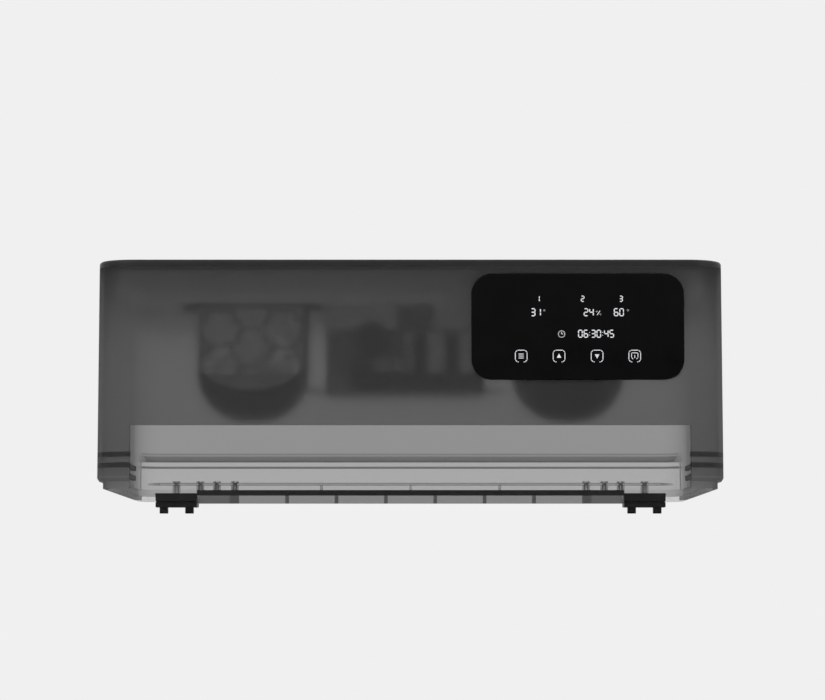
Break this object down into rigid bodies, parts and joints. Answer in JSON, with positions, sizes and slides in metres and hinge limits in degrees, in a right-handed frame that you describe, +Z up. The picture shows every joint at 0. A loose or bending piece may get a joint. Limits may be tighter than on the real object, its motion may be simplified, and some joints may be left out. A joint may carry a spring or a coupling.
{
  "type": "heated filament drying hood",
  "caption": "Smoked drying hood for filament spools, with touch display, circulation fans, heater and plug-in rear hinges; open at the bottom.",
  "frame": {"origin": "centre of the footprint, on the plane under the tips of the hinge feet", "axes": "+X to the right of someone facing the display, +Y from the display to the hinges, +Z up"},
  "size_m": [0.377, 0.2994, 0.1455],
  "materials": {
    "smoked_plastic": "smoked translucent moulding, lightly frosted inside",
    "black_satin_plastic": "fine satin grain",
    "clear_silicone": "clear soft silicone",
    "black_painted_metal": "black powder coat",
    "plated_steel": "zinc plated",
    "hinge_plastic": "black glass-filled nylon",
    "black_glass": "polished black glass over lit figures",
    "adhesive_foam": "thin black foam tape",
    "white_plastic": "white moulding",
    "circuit_board": "green solder mask",
    "grey_plastic": "dark grey heat-resistant moulding",
    "transformer_tape": "yellow winding tape",
    "capacitor_sleeve": "shrink sleeve",
    "black_plastic": "plain black moulding",
    "black_lead": "insulated lead",
    "fan_plastic": "black fan moulding",
    "guard_plastic": "dark grey moulded guard",
    "wire_screen": "fine woven wire",
    "rotor_plastic": "black blades, slight sheen",
    "fin_aluminium": "thin bare fins",
    "element_ceramic": "dark heating element",
    "terminal_grey": "grey terminal moulding",
    "red_lead": "silicone insulated lead"
  },
  "bodies": {
    "hood": {"hood_shell": "smoked_plastic", "top_panel": "black_satin_plastic", "rim_seal": "clear_silicone", "rear_rail": "black_painted_metal", "rail_screws": "plated_steel", "hinge_leaf_left": "hinge_plastic", "hinge_leaf_right": "hinge_plastic", "hinge_pin_left": "plated_steel", "hinge_pin_right": "plated_steel", "display_glass": "black_glass", "display_gasket": "adhesive_foam", "display_reflector": "white_plastic", "display_board": "circuit_board", "display_housing": "black_satin_plastic", "display_screws": "plated_steel", "display_cable": "white_plastic", "heater_deck": "grey_plastic", "deck_screws": "plated_steel", "power_board": "circuit_board", "power_transformer": "transformer_tape", "power_capacitors": "capacitor_sleeve", "power_inlet": "black_plastic", "inlet_pins": "plated_steel", "inlet_boot": "black_plastic", "inlet_leads": "black_lead", "fan_housing_left": "fan_plastic", "fan_housing_right": "fan_plastic", "fan_guard_left": "guard_plastic", "fan_guard_right": "guard_plastic", "fan_screen_left": "wire_screen", "fan_screen_right": "wire_screen", "fan_motor_left": "fan_plastic", "fan_motor_right": "fan_plastic", "fan_screws": "plated_steel", "heater_duct": "black_painted_metal", "heater_core": "fin_aluminium", "heater_elements": "element_ceramic", "heater_screws": "plated_steel", "thermal_cutout": "black_plastic", "thermal_fuse": "black_plastic", "terminal_block": "terminal_grey", "heater_leads": "red_lead", "humidity_sensor": "white_plastic"},
    "foot_left": {"hinge_foot_left": "hinge_plastic"},
    "foot_right": {"hinge_foot_right": "hinge_plastic"},
    "rotor_left": {"fan_rotor_left": "rotor_plastic", "fan_shaft_left": "plated_steel"},
    "rotor_right": {"fan_rotor_right": "rotor_plastic", "fan_shaft_right": "plated_steel"}
  },
  "joints": [
    {"name": "hinge_left", "type": "hinge", "parent": "hood", "child": "foot_left", "pos_m": [-0.1575, 0.14545, 0.0088], "axis": [1, 0, 0], "range_deg": [0, 95]},
    {"name": "hinge_right", "type": "hinge", "parent": "hood", "child": "foot_right", "pos_m": [0.1575, 0.14545, 0.0088], "axis": [1, 0, 0], "range_deg": [0, 95]},
    {"name": "fan_left_spin", "type": "hinge", "parent": "hood", "child": "rotor_left", "pos_m": [-0.0964, -0.1, 0.0804], "axis": [0, 1, 0], "continuous": true},
    {"name": "fan_right_spin", "type": "hinge", "parent": "hood", "child": "rotor_right", "pos_m": [0.0964, -0.067, 0.0804], "axis": [0, 1, 0], "continuous": true}
  ],
  "couplings": [
    {"joint": "hinge_right", "follows": "hinge_left", "ratio": 1}
  ]
}
